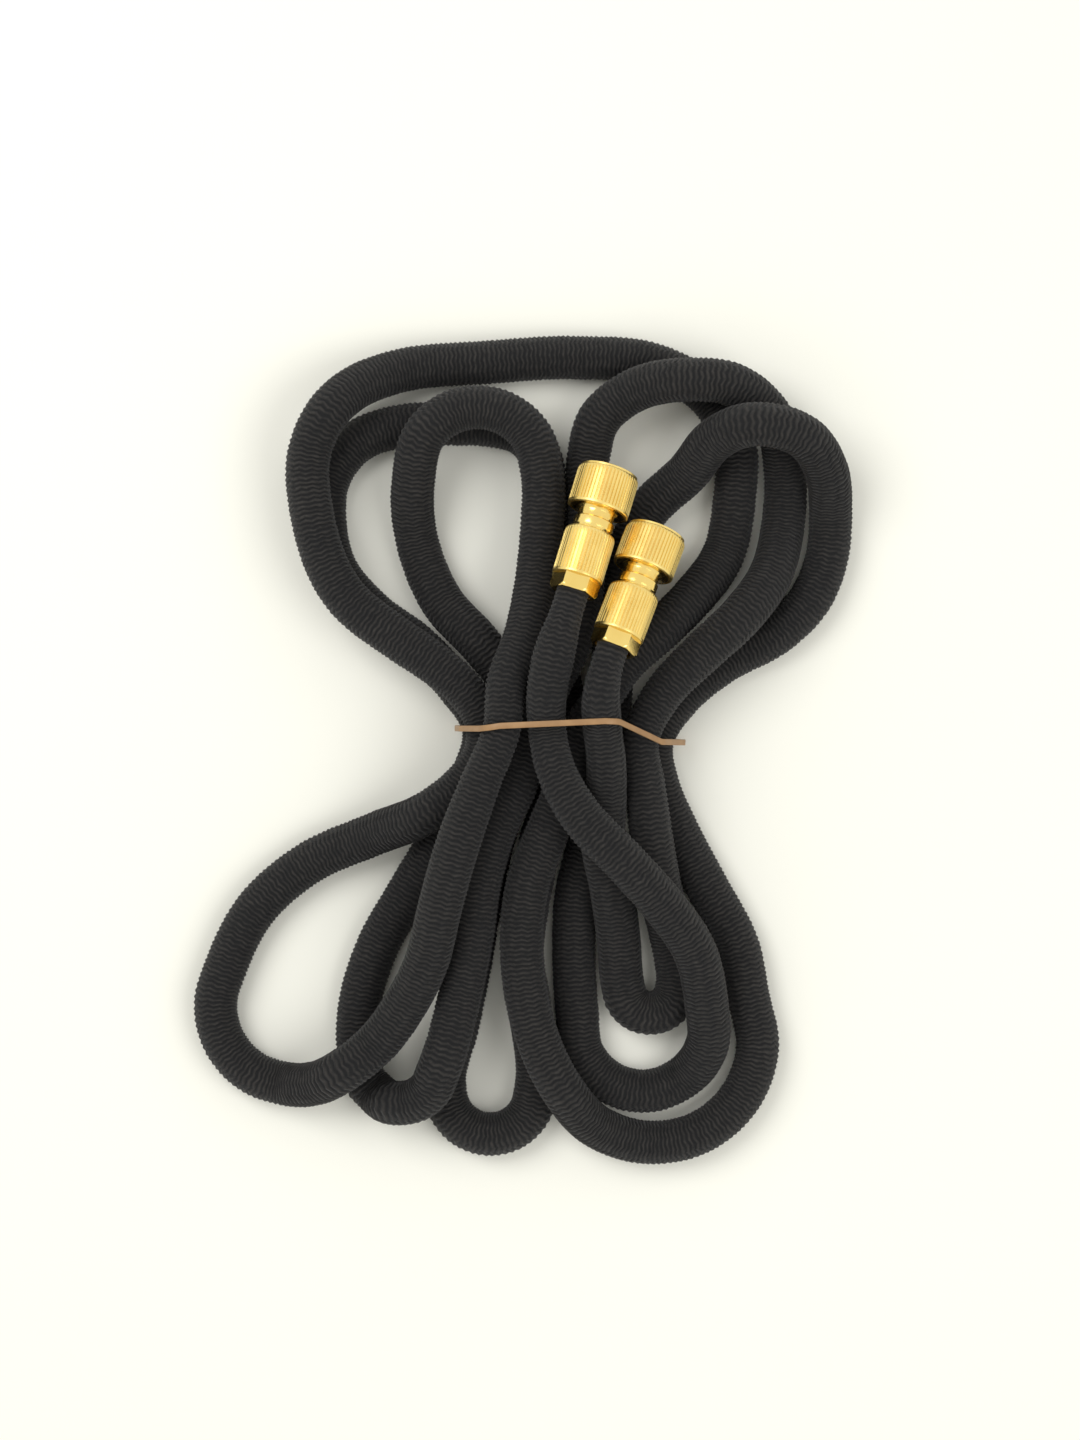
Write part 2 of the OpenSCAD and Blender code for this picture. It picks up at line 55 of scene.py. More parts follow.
camera = bpy.data.objects.new("camera", bpy.data.cameras.new("camera"))
camera.data.sensor_fit = "VERTICAL"
camera.data.sensor_height = 36
camera.data.lens = camera.data.sensor_height * CAMERA_HEIGHT / FLOOR_SEEN
camera.location = (*CAMERA_OVER, CAMERA_HEIGHT)
bpy.context.scene.collection.objects.link(camera)
bpy.context.scene.camera = camera
bpy.context.scene.view_settings.view_transform = "Standard"

# ---- Gathered sleeve ------------------------------------------------------------------------
# A polyester tube woven several times longer than the slack latex tube in it, so that it lies
# in close cross gathers. It is one unbroken length from connector a to connector b, folded
# into a fan of loops that cross at the waist, and its ends are gripped by the collets.
MM = 0.001
# Heights of the hose's middle on the floor and in the three layers at the waist
FLOOR = 7.2
ROW = (9, 26, 43)
# How far behind a mouth the hose starts, and how far it then runs straight
HOSE_END = 38.1
STRAIGHT_END = 57.5


def connector_place(mouth, tilt, pitch):
    """Turns a shape drawn along +Z from a connector's mouth to where the connector lies."""
    return (
        Matrix.Translation(Vector(mouth) * MM)
        @ Matrix.Rotation(math.radians(-tilt), 4, "Z")
        @ Matrix.Rotation(math.radians(90 - pitch), 4, "X")
    )


PLACES = {
    "a": connector_place((35, 111.5, 39), 17, 12),
    "b": connector_place((54, 87.5, 36.5), 21, 15),
}


def on_axis(end, distance):
    """The point on a connector's axis that far behind its mouth, all in millimetres."""
    return tuple((PLACES[end] @ Vector((0, 0, distance * MM))) / MM)


DEGREES_A_POINT = 35


def arc(centre, radius, start, stop, low, high):
    """Points of a bend in plan that rises steadily."""
    steps = max(1, math.ceil(abs(stop - start) / DEGREES_A_POINT))
    return [
        (
            centre[0] + radius * math.cos(math.radians(start + (stop - start) * k / steps)),
            centre[1] + radius * math.sin(math.radians(start + (stop - start) * k / steps)),
            low + (high - low) * k / steps,
        )
        for k in range(steps + 1)
    ]


# The route's points in millimetres, loop by loop, from connector a to connector b
end_a = [
    on_axis("a", HOSE_END), on_axis("a", STRAIGHT_END), (13, 39, 52), (10, 24, 49), (10, 9, ROW[2]),
]
lower_right_2 = (
    [(13, -6, 45), (23, -25, 47), (40, -43, 46), (56, -61, 39), (69, -80, 31)]
    + arc((49, -112), 27, 20, -50, 22, FLOOR)
    + arc((49, -112), 27, -85, -190, FLOOR, FLOOR)
    + [(21, -82, FLOOR), (22, -59, FLOOR), (27, -39, FLOOR), (33.5, -16, 8), (36.5, 9, ROW[0])]
)
upper_right_3 = (
    [(37, 25, 8), (37, 41, FLOOR), (38, 57, FLOOR), (42, 76, 8), (50, 96, 10)]
    + arc((95, 100), 30.5, 155, 125, 15, 27)
    + [(92, 130, 38)]
    + arc((95, 100), 30.5, 60, -5, 36, 10)
    + [(124, 78, FLOOR), (117, 61, FLOOR), (104, 48, FLOOR), (81, 35, FLOOR), (64, 20, 8)]
    + [(54, 3, ROW[0])]
)
lower_right_1 = (
    [(56, -14, 8), (63, -32, FLOOR), (75, -55, FLOOR), (88, -80, FLOOR)]
    + arc((54, -118), 42, 25, -95, FLOOR, FLOOR)
    + arc((54, -118), 42, -120, -155, 12, 25)
    + [(6, -115, 26), (0, -84, 26), (2, -55, 26), (10, -33, 26), (18, -12, 26), (24, 9, ROW[1])]
)
upper_left_1 = (
    [(32, 21, 26), (41, 35, 26), (55, 48, 23), (69, 62, 16), (82, 80, FLOOR)]
    + arc((44, 114), 44, -15, 75, FLOOR, FLOOR)
    + [(22, 160, FLOOR), (-13, 158, 9)]
    + arc((-42, 110), 44.5, 105, 145, 13, 26)
    + arc((-42, 110), 44.5, 170, 195, 26, 26)
    + [(-71, 62, 26), (-50, 45, 26), (-34, 34, 26)]
    + arc((-39, 6), 24, 45, -45, 26, 26)
)
lower_left_1 = (
    [(-37, -24, 26), (-60, -34, 13), (-87, -46, FLOOR), (-108, -64, FLOOR)]
    + arc((-93, -104), 32, 150, 265, FLOOR, 9)
    + arc((-93, -104), 32, 285, 308, 17, 27)
    + [(-58, -117, 28), (-47, -102, 31), (-38, -84, 36), (-33, -64, 41), (-26, -39, 44)]
    + [(-17, -14, 44), (-8, 9, ROW[2])]
)
upper_left_2 = (
    [(-6, 27, 40), (1, 45, 34), (6, 70, 27), (8, 90, 26)]
    + arc((-18, 112), 26, 0, 140, 26, 26)
    + [(-44, 109, 18), (-43, 86, 8), (-33, 61, 9), (-16, 42, 14), (-4, 25, 12), (1, 9, ROW[0])]
)
lower_middle = (
    [(-4, -14, 8), (-12, -37, FLOOR), (-17, -61, FLOOR), (-21, -86, FLOOR), (-26, -111, FLOOR)]
    + arc((-13, -138), 18.5, 180, 360, FLOOR, FLOOR)
    + [(3, -105, FLOOR), (0, -82, FLOOR), (3, -59, FLOOR), (7.5, -37, FLOOR), (14.5, -14, 8)]
    + [(19, 9, ROW[0])]
)
upper_left_3 = (
    [(16, 27, 8), (11, 47, FLOOR), (9, 74, FLOOR), (9, 94, FLOOR)]
    + arc((-11, 112), 20, 0, 90, FLOOR, FLOOR)
    + [(-30, 133, FLOOR)]
    + arc((-48, 99), 33, 95, 190, FLOOR, FLOOR)
    + [(-76, 74, FLOOR), (-62, 57, FLOOR), (-42, 42, FLOOR), (-27, 26, 8), (-17, 9, ROW[0])]
)
lower_left_2 = (
    [(-21, -10, 8), (-32, -33, FLOOR), (-46, -57, FLOOR), (-59, -80, FLOOR), (-66, -102, FLOOR)]
    + arc((-50, -126), 16.5, 180, 235, FLOOR, 9)
    + arc((-50, -126), 16.5, 265, 350, 19, 28)
    + [(-24, -94, 26), (-20, -74, 26), (-17, -53, 26), (-11, -32, 26), (-1, -12, 26)]
    + [(5, 9, ROW[1])]
)
upper_right_2 = (
    [(12, 27, 27), (20, 45, 25), (25, 70, 20), (26.5, 94, 17)]
    + arc((53, 120), 26, 180, 115, 14, 20)
    + arc((73, 115), 34, 95, 75, 28, 27)
    + arc((73, 115), 34, 45, 0, 20, 8)
    + [(106, 90, FLOOR), (101, 72, 15), (88, 54, 24), (72, 39, 26), (56, 22, 26), (47.5, 4, ROW[1])]
)
lower_right_3 = (
    [(49.5, -14, 25.5), (52, -35, 24), (56, -57, 16.5), (61, -78, FLOOR)]
    + arc((52, -96), 11, 0, -180, FLOOR, 11)
    + [(39, -76, 15), (36, -55, 21.5), (32.5, -37, 26.5), (33.5, -18, 32), (33.5, -4, 38.5)]
    + [(32, 9, ROW[2])]
)
end_b = [(31.5, 24, 51), on_axis("b", STRAIGHT_END), on_axis("b", HOSE_END)]
loops_from_a = lower_right_2 + upper_right_3 + lower_right_1 + upper_left_1 + lower_left_1
middle_loops = upper_left_2 + lower_middle + upper_left_3 + lower_left_2
loops_to_b = upper_right_2 + lower_right_3
route = end_a + loops_from_a + middle_loops + loops_to_b + end_b
knots = [Vector(knot) * MM for knot in route]

chords = [(b - a).length for a, b in zip(knots, knots[1:])]
headings = [(knots[1] - knots[0]).normalized()]
for before, after, a, b, c in zip(chords, chords[1:], knots, knots[1:], knots[2:]):
    headings.append((after / before * (b - a) + before / after * (c - b)).normalized())
headings.append((knots[-1] - knots[-2]).normalized())

# The smooth line through the knots, and the run of the hose to each of its points
PARTS_OF_A_CHORD = 24
smooth_line, run_to = [knots[0]], [0.0]
for i, chord in enumerate(chords):
    for k in range(1, PARTS_OF_A_CHORD + 1):
        t = k / PARTS_OF_A_CHORD
        smooth_line.append(
            (2 * t**3 - 3 * t**2 + 1) * knots[i]
            + (3 * t**2 - 2 * t**3) * knots[i + 1]
            + chord * ((t**3 - 2 * t**2 + t) * headings[i] + (t**3 - t**2) * headings[i + 1])
        )
        run_to.append(run_to[-1] + (smooth_line[-1] - smooth_line[-2]).length)
hose_length = run_to[-1]


def stations(count):
    """Points at even steps along the whole hose."""
    found, at = [], 0
    for j in range(count):
        run = hose_length * j / (count - 1)
        while at < len(run_to) - 2 and run_to[at + 1] < run:
            at += 1
        share = (run - run_to[at]) / (run_to[at + 1] - run_to[at])
        found.append(smooth_line[at].lerp(smooth_line[at + 1], share))
    return found


def ease(t):
    """A smooth rise from 0 at 0 to 1 at 1."""
    t = min(1.0, max(0.0, t))
    return t * t * (3 - 2 * t)


LOOP_RADIUS = 0.009
WAIST_RADIUS = 0.0078
CLAMPED_RADIUS = 0.0066
WAIST_Y = 0.006
WAIST_REACH = 0.045
CLAMPED_RUN = (STRAIGHT_END - HOSE_END) * MM
SWELL_RUN = 0.026


def sleeve_radius(point, run):
    """Full in the loops, drawn in at the waist by the band, and gripped at the ends."""
    free = WAIST_RADIUS + (LOOP_RADIUS - WAIST_RADIUS) * ease(abs(point.y - WAIST_Y) / WAIST_REACH)
    grown = ease((min(run, hose_length - run) - CLAMPED_RUN) / SWELL_RUN)
    return CLAMPED_RADIUS + (free - CLAMPED_RADIUS) * grown


# Three waves of unlike length, in radians to the metre of hose
LONG_WAVE, MIDDLE_WAVE, SHORT_WAVE = 613, 1571, 3307


def uneven(run, side):
    """How the gathers wander along and round the hose, from -1 to 1."""
    long = math.sin(run * LONG_WAVE + 1.7 * math.sin(side * 1.3))
    middle = math.sin(run * MIDDLE_WAVE + side * 2.9)
    short = math.sin(run * SHORT_WAVE + side * 4.1)
    return (long + middle + short) / 3


GATHER_PITCH = 0.0019
GATHER_DEPTH = 0.00062
GATHER_WAVER = 0.0004
# The shares of their depth that gathers keep in the clamp, and where a bend closes them
CLAMPED_DEPTH = 0.4
CLOSED_DEPTH = 0.3
# The mean and the spread of the waver, as shares of it, and the pace at which it changes
WAVER_MEAN = 0.7
WAVER_SPREAD = 0.5
WAVER_ALONG = 0.37
WAVER_AROUND = 0.6
# How far single gathers stray outwards and along the hose
STRAY_OUT = 0.00012
STRAY_ALONG = 0.0003
# How far the gathers close on the inside of a bend and open on its outside
MOST_CLOSED = 0.1
MOST_OPEN = 1.4
# The share of the clamped run after which the gathers start to come loose
TIGHT_SHARE = 0.3
SLEEVE_SIDES = 22
# How many rings on each side the heading and the bend are measured over
HEADING_REACH = 2
BEND_REACH = 5
# The lowest that a crest lies, and how much higher a valley does
CREST_LOW = 0.0001
VALLEY_RISE = 0.0003
SAME_SPOT = 1e-6

gathers = round(hose_length / GATHER_PITCH)
rings = 2 * gathers + 1
step = hose_length / (rings - 1)
middles = stations(rings)

# A flat grid of cloth, which is rolled round the line and joined along its lower side
cloth = bmesh.new()
sleeve_map = cloth.loops.layers.uv.new("along_hose")
bmesh.ops.create_grid(cloth, x_segments=SLEEVE_SIDES, y_segments=rings - 1, size=1)
for face in cloth.faces:
    for corner in face.loops:
        corner[sleeve_map].uv = (
            (corner.vert.co.x + 1) / 2,
            round((corner.vert.co.y + 1) / 2 * (rings - 1)) / 2,
        )
columns = [[] for _ in range(rings)]
for vertex in cloth.verts:
    columns[round((vertex.co.y + 1) / 2 * (rings - 1))].append(vertex)

for j, middle in enumerate(middles):
    run = j * step
    next_ring, last_ring = min(rings - 1, j + HEADING_REACH), max(0, j - HEADING_REACH)
    ahead = (middles[next_ring] - middles[last_ring]).normalized()
    sideways = ahead.cross(Vector((0, 0, 1))).normalized()
    upward = sideways.cross(ahead)
    bend = Vector()
    if BEND_REACH <= j < rings - BEND_REACH:
        before, after = middles[j - BEND_REACH], middles[j + BEND_REACH]
        bend = ((after - middle) - (middle - before)) / (BEND_REACH * step) ** 2
    radius = sleeve_radius(middle, run)
    loose = ease(min(run, hose_length - run) / CLAMPED_RUN - TIGHT_SHARE)
    crest = j % 2
    for vertex in columns[j]:
        side = round((vertex.co.x + 1) / 2 * SLEEVE_SIDES)
        turn = 2 * math.pi * side / SLEEVE_SIDES - math.pi / 2
        side %= SLEEVE_SIDES
        out = math.cos(turn) * sideways + math.sin(turn) * upward
        wander = uneven(run, side)
        opened = min(MOST_OPEN, max(MOST_CLOSED, 1 - bend.dot(out) * radius))
        depth = GATHER_DEPTH * (CLAMPED_DEPTH + (1 - CLAMPED_DEPTH) * loose)
        depth *= min(1, CLOSED_DEPTH + (1 - CLOSED_DEPTH) * opened)
        reach = radius - (1 - crest) * depth + STRAY_OUT * wander * loose
        swing = WAVER_MEAN + WAVER_SPREAD * uneven(run * WAVER_ALONG, side * WAVER_AROUND)
        waver = GATHER_WAVER * swing * (1 if side % 2 else -1)
        along = (waver + STRAY_ALONG * wander) * opened * loose
        vertex.co = middle + reach * out + along * ahead
        vertex.co.z = max(vertex.co.z, CREST_LOW + VALLEY_RISE * (1 - crest))
bmesh.ops.remove_doubles(cloth, verts=cloth.verts, dist=SAME_SPOT)
bmesh.ops.holes_fill(cloth, edges=[edge for edge in cloth.edges if edge.is_boundary], sides=0)
bmesh.ops.recalc_face_normals(cloth, faces=cloth.faces)


def kept_piece(name, made, finish, sharp=180):
    """Turns a bmesh into an object with smooth faces, and edges sharp past an angle."""
    for face in made.faces:
        face.smooth = True
    for edge in made.edges:
        edge.smooth = edge.calc_face_angle(0) < math.radians(sharp)
    mesh = bpy.data.meshes.new(name)
    made.to_mesh(mesh)
    made.free()
    for material in finish:
        mesh.materials.append(material)
    piece = bpy.data.objects.new(name, mesh)
    bpy.context.scene.collection.objects.link(piece)
    return piece


class Shade:
    """A socket of a finish. Arithmetic on it adds Math nodes, and node() adds any other node."""

    def __init__(self, tree, socket=None):
        self.tree = tree
        self.socket = socket

    def node(self, kind, settings, sockets, output=0):
        made = self.tree.nodes.new(kind)
        for name, value in settings.items():
            setattr(made, name, value)
        for name, value in sockets.items():
            if isinstance(value, Shade):
                self.tree.links.new(value.socket, made.inputs[name])
            else:
                made.inputs[name].default_value = value
        return Shade(self.tree, made.outputs[output])

    def math(self, operation, first, second=0.0):
        return self.node("ShaderNodeMath", {"operation": operation}, {0: first, 1: second})

    def __add__(self, other):
        return self.math("ADD", self, other)

    __radd__ = __add__

    def __mul__(self, other):
        return self.math("MULTIPLY", self, other)

    __rmul__ = __mul__

    def __sub__(self, other):
        return self.math("SUBTRACT", self, other)

    def __rsub__(self, other):
        return self.math("SUBTRACT", other, self)

    def cosine(self):
        return self.math("COSINE", self)

    def between(self, dark, light):
        """A colour that goes from dark at 0 to light at 1."""
        sockets = {0: self, 6: (*dark, 1), 7: (*light, 1)}
        return self.node("ShaderNodeMix", {"data_type": "RGBA"}, sockets, output=2)

    def feed(self, shader, name):
        self.tree.links.new(self.socket, shader.inputs[name])


def new_finish(name, constants):
    """A material, its shader with the values that are the same all over, and a start for maths."""
    material = bpy.data.materials.new(name)
    material.use_nodes = True
    shader = material.node_tree.nodes["Principled BSDF"]
    for socket, value in constants.items():
        shader.inputs[socket].default_value = value
    return material, shader, Shade(material.node_tree)


woven_black, shader, start = new_finish(
    "woven_black",
    {"Roughness": 0.8, "Specular IOR Level": 0.35, "Sheen Weight": 0.12, "Sheen Roughness": 0.4},
)
along_hose = start.node("ShaderNodeUVMap", {"uv_map": "along_hose"}, {})
YARNS_AROUND = 110
YARNS_A_GATHER = 3
around = start.node("ShaderNodeSeparateXYZ", {}, {0: along_hose}, output=0) * (2 * math.pi)
gather = start.node("ShaderNodeSeparateXYZ", {}, {0: along_hose}, output=1) * (2 * math.pi)
crests = 0.5 - 0.5 * gather.cosine()
yarns = (around * YARNS_AROUND).cosine() * (gather * YARNS_A_GATHER).cosine()
position = start.node("ShaderNodeTexCoord", {}, {}, output=3)
broken = start.node("ShaderNodeTexNoise", {}, {"Vector": position, "Scale": 420, "Detail": 2})
faded = start.node("ShaderNodeTexNoise", {}, {"Vector": position, "Scale": 25, "Detail": 2})
# The colour is lighter on the crests of the gathers, in broken specks, and darker in their valleys:
# painted highlights on the crests and painted shade in the valleys, over a random tone and the
# weave.
tone_and_painted_crest_light = crests * broken * 1.5 + faded * 0.4 - 0.4 + yarns * 0.1
tone_and_painted_crest_light.between((0.0025, 0.0025, 0.003), (0.042, 0.038, 0.034)).feed(shader, "Base Color")
relief = crests + broken * 0.6 + yarns * 0.12
start.node(
    "ShaderNodeBump", {}, {"Strength": 0.7, "Distance": 0.0008, "Height": relief}
).feed(shader, "Normal")

sleeve = kept_piece("gathered_sleeve", cloth, [woven_black])
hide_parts("sleeve")
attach(sleeve, "hank")

# ---- Latex tube -----------------------------------------------------------------------------
# The tube that carries the water: soft latex, slack here and three times as long under pressure.
# It runs inside the whole sleeve and is pushed over the barbed tail of each connector.
TUBE_RADIUS = 0.0057
TUBE_SIDES = 12
TUBE_RINGS = 600

latex = bmesh.new()
bmesh.ops.create_grid(latex, x_segments=TUBE_SIDES, y_segments=TUBE_RINGS - 1, size=1)
tube_line = stations(TUBE_RINGS)
for vertex in latex.verts:
    j = round((vertex.co.y + 1) / 2 * (TUBE_RINGS - 1))
    turn = math.pi * (vertex.co.x + 1)
    ahead = (tube_line[min(TUBE_RINGS - 1, j + 1)] - tube_line[max(0, j - 1)]).normalized()
    sideways = ahead.cross(Vector((0, 0, 1))).normalized()
    out = math.cos(turn) * sideways + math.sin(turn) * sideways.cross(ahead)
    vertex.co = tube_line[j] + TUBE_RADIUS * out
bmesh.ops.remove_doubles(latex, verts=latex.verts, dist=SAME_SPOT)
bmesh.ops.holes_fill(latex, edges=[edge for edge in latex.edges if edge.is_boundary], sides=0)
bmesh.ops.recalc_face_normals(latex, faces=latex.faces)

grey_latex, shader, start = new_finish("grey_latex", {"Roughness": 0.55})
position = start.node("ShaderNodeTexCoord", {}, {}, output=3)
cloud = start.node("ShaderNodeTexNoise", {}, {"Vector": position, "Scale": 160, "Detail": 3})
cloud.between((0.03, 0.035, 0.04), (0.07, 0.08, 0.09)).feed(shader, "Base Color")

tube = kept_piece("latex_tube", latex, [grey_latex])
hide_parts("inner_tube")
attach(tube, "hank")

# ---- Connector bodies -----------------------------------------------------------------------
# A turned brass spigot: a mouth with seats for the balls and a groove for the seal, a flange that
# the collar's spring pushes on, a polished neck with a ring, a thread for the hose nut and a
# barbed tail in the latex tube.


def turned(outline, columns, soften=0.15):
    """A closed outline of (radius, distance from the mouth), softened at its corners and spun."""
    made = bmesh.new()
    corners = [made.verts.new((radius * MM, 0, along * MM)) for radius, along in outline]
    made.faces.new(corners)
    bmesh.ops.bevel(
        made, geom=corners, offset=soften * MM, segments=2, profile=0.5, affect="VERTICES",
        clamp_overlap=True, material=-1,
    )
    bmesh.ops.delete(made, geom=made.faces[:], context="FACES_ONLY")
    bmesh.ops.spin(
        made, geom=made.verts[:] + made.edges[:], cent=(0, 0, 0), axis=(0, 0, 1),
        angle=2 * math.pi, steps=columns, use_merge=True,
    )
    bmesh.ops.recalc_face_normals(made, faces=made.faces)
    return made


# Radii and lengths of the spigot in millimetres, and how many turns and barbs it has
PASSAGE = 3
BORE = 8.1
NOSE = 9.9
FLANGE = 11.05
FLANGE_FRONT = 16
BARB = 4.25
BARB_VALLEY = 3.9
THREAD_CREST = 8.4
THREAD_VALLEY = 7.9
THREAD_TURNS = 6
THREAD_PITCH = 1.4
BARBS = 4
BARB_PITCH = 3
TAIL_START = 38
TAIL_END = 50
body_outline = [
    (PASSAGE, 15), (BORE, 13), (BORE, 11.35), (9.15, 11.35), (9.15, 9.65), (BORE, 9.65),
    (BORE, 4.1), (8.4, 3.8), (8.4, 0.4), (8.8, 0), (9.7, 0), (NOSE, 0.2), (NOSE, 0.6), (9.4, 0.6),
    (9.4, 1.5), (NOSE, 1.5), (NOSE, FLANGE_FRONT), (FLANGE, FLANGE_FRONT), (FLANGE, 17.6),
    (8.3, 17.6), (7.3, 18.6), (7.3, 21.6), (7.7, 21.6), (8.1, 22), (8.1, 25),
    (THREAD_VALLEY, 25.3),
]
for k in range(THREAD_TURNS):
    ridge = 26.4 + THREAD_PITCH * k
    body_outline += [(THREAD_CREST, ridge), (THREAD_CREST, ridge + 0.4)]
    body_outline += [(THREAD_VALLEY, ridge + 0.8), (THREAD_VALLEY, ridge + 1.1)]
body_outline += [(THREAD_CREST, 36), (THREAD_CREST, 37.6), (8, TAIL_START)]
for k in range(BARBS):
    ridge = TAIL_START + BARB_PITCH * k
    body_outline += [(BARB_VALLEY, ridge), (BARB, ridge + 0.3), (BARB, ridge + 0.7)]
    body_outline += [(BARB_VALLEY, ridge + 2.9)]
body_outline += [(BARB_VALLEY, TAIL_END), (PASSAGE, TAIL_END)]

BODY_COLUMNS = 72
BALLS = 3
# How far behind the mouth the balls sit, and the patch of wall that is opened for one: its rows,
# half its length, and half its width in columns
BALL_BEHIND = 5.8
SEAT_ROWS = 4
SEAT_HALF = 1.6
SEAT_HALF_COLUMNS = 2
# The radius of a seat at the bore and at the outside of the wall
SEAT_WIDTHS = {BORE: 1.3, NOSE: 1.75}
WALL_NEAR = 0.1


def bore_ball_seats(made):
    """Opens a round hole for each ball through the wall of the mouth, wider on the outside."""
    for k in range(SEAT_ROWS + 1):
        level = BALL_BEHIND + SEAT_HALF * (2 * k / SEAT_ROWS - 1)
        bmesh.ops.bisect_plane(
            made, geom=made.verts[:] + made.edges[:] + made.faces[:], plane_co=(0, 0, level * MM),
            plane_no=(0, 0, 1),
        )
    half_width = SEAT_HALF_COLUMNS * 2 * math.pi / BODY_COLUMNS
    for ball in range(BALLS):
        turned_back = Matrix.Rotation(-2 * math.pi * ball / BALLS, 3, "Z")
        rims = []
        for wall, hole in SEAT_WIDTHS.items():
            inside = []
            for face in made.faces:
                centre = turned_back @ face.calc_center_median() / MM
                if (
                    abs(math.atan2(centre.y, centre.x)) < half_width
                    and abs(centre.z - BALL_BEHIND) < SEAT_HALF
                    and abs(centre.xy.length - wall) < WALL_NEAR
                ):
                    inside.append(face)
            near = {edge for face in inside for edge in face.edges}
            rim = [edge for edge in near if sum(face in inside for face in edge.link_faces) == 1]
            bmesh.ops.delete(made, geom=inside, context="FACES")
            for vertex in {vertex for edge in rim for vertex in edge.verts}:
                spot = turned_back @ vertex.co / MM
                across = math.atan2(spot.y, spot.x) / half_width
                along = (spot.z - BALL_BEHIND) / SEAT_HALF
                aim = math.atan2(along, across)
                side = math.asin(hole * math.cos(aim) / wall)
                behind = BALL_BEHIND + hole * math.sin(aim)
                spot = Vector((wall * math.cos(side), wall * math.sin(side), behind))
                vertex.co = turned_back.transposed() @ spot * MM
            rims += rim
        bmesh.ops.bridge_loops(made, edges=rims)
    bmesh.ops.recalc_face_normals(made, faces=made.faces)


def brass_finish(name, dull, bright, roughness):
    """Plated brass with faint clouding and fine rubbed marks."""
    material, shader, start = new_finish(name, {"Metallic": 1})
    position = start.node("ShaderNodeTexCoord", {}, {}, output=3)
    cloud = start.node("ShaderNodeTexNoise", {}, {"Vector": position, "Scale": 90, "Detail": 3})
    rubbed = start.node("ShaderNodeTexNoise", {}, {"Vector": position, "Scale": 1400, "Detail": 2})
    cloud.between(dull, bright).feed(shader, "Base Color")
    (rubbed * 0.2 + cloud * 0.1 + (roughness - 0.15)).feed(shader, "Roughness")
    start.node(
        "ShaderNodeBump", {}, {"Strength": 0.12, "Distance": 0.0001, "Height": rubbed}
    ).feed(shader, "Normal")
    return material


polished_brass = brass_finish("polished_brass", (0.84, 0.57, 0.15), (0.94, 0.74, 0.27), 0.16)
for end, place in PLACES.items():
    made = turned(body_outline, BODY_COLUMNS)
    bore_ball_seats(made)
    bmesh.ops.transform(made, matrix=place, verts=made.verts)
    body = kept_piece("spigot_" + end, made, [polished_brass], sharp=35)
    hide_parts("body_" + end)
    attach(body, "hank")

# ---- Seal, balls, collet, washer and spring -------------------------------------------------
# In each mouth sit a rubber O-ring and three steel balls that lock the plug. A steel spring and
# washer push the collar forwards to its clip. The collet, matt black like the seal, is closed on
# the sleeve by the hose nut.
black_rubber, shader, start = new_finish("black_rubber", {"Roughness": 0.6})
position = start.node("ShaderNodeTexCoord", {}, {}, output=3)
cloud = start.node("ShaderNodeTexNoise", {}, {"Vector": position, "Scale": 500, "Detail": 3})
cloud.between((0.01, 0.01, 0.01), (0.03, 0.03, 0.03)).feed(shader, "Base Color")

bright_steel, shader, start = new_finish("bright_steel", {"Metallic": 1})
position = start.node("ShaderNodeTexCoord", {}, {}, output=3)
cloud = start.node("ShaderNodeTexNoise", {}, {"Vector": position, "Scale": 700, "Detail": 3})
cloud.between((0.42, 0.42, 0.43), (0.6, 0.6, 0.61)).feed(shader, "Base Color")
(cloud * 0.2 + 0.15).feed(shader, "Roughness")

small_parts = {
    "o_ring_": black_rubber, "collet_": black_rubber, "thrust_washer_": bright_steel,
    "ball_1_": bright_steel, "ball_2_": bright_steel, "ball_3_": bright_steel,
}
for name, finish in small_parts.items():
    for end in PLACES:
        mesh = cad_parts[name + end].data
        mesh.materials.clear()
        mesh.materials.append(finish)

# The coil between the washer's back and the flange
SPRING_FRONT = 9.75
SPRING_BACK = 15.55
SPRING_RADIUS = 10.55
WIRE_RADIUS = 0.4
WIRE_SIDES = 10
SPRING_TURNS = 3
STEPS_A_TURN = 48
for end, place in PLACES.items():
    made = bmesh.new()
    wire_start = Matrix.Translation((SPRING_RADIUS * MM, 0, SPRING_FRONT * MM))
    bmesh.ops.create_circle(
        made, radius=WIRE_RADIUS * MM, segments=WIRE_SIDES,
        matrix=wire_start @ Matrix.Rotation(math.pi / 2, 4, "X"),
    )
    steps = SPRING_TURNS * STEPS_A_TURN
    bmesh.ops.spin(
        made, geom=made.verts[:] + made.edges[:], cent=(0, 0, 0), axis=(0, 0, 1),
        dvec=(0, 0, (SPRING_BACK - SPRING_FRONT) * MM / steps), angle=SPRING_TURNS * 2 * math.pi,
        steps=steps,
    )
    bmesh.ops.holes_fill(made, edges=[edge for edge in made.edges if edge.is_boundary], sides=0)
    bmesh.ops.recalc_face_normals(made, faces=made.faces)
    bmesh.ops.transform(made, matrix=place, verts=made.verts)
    spring = kept_piece("collar_spring_" + end, made, [bright_steel], sharp=60)
    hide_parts("return_spring_" + end)
    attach(spring, "hank")
    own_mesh(spring)

# ---- Release collars ------------------------------------------------------------------------
# A turned and knurled brass sleeve that is pulled back to free the plug, with a rounded front
# shoulder and a plain band behind the knurl. Its clip, a split spring ring of the same plating,
# stops it at the front.
COLLAR_TEETH = 52
COLLAR_GROOVE = 12.0
COLLAR_KNURL_END = 16.35
collar_outline = [
    (11.3, 1.5), (11.6, 1.5), (12.0, 1.75), (12.25, 2.2), (12.37, 2.9), (12.4, 3.7), (12.4, 16.2),
    (12.4, 16.5), (12.4, 17.3), (12.1, 17.6), (11.2, 17.6), (11.2, 8.6), (10.15, 8.6), (10.15, 7.2),
    (10.33, 7.2),
]
# Where the columns of a tooth lie: two on its crest, then two in the groove
TOOTH_COLUMNS = (0, 0.56, 0.7, 0.86)


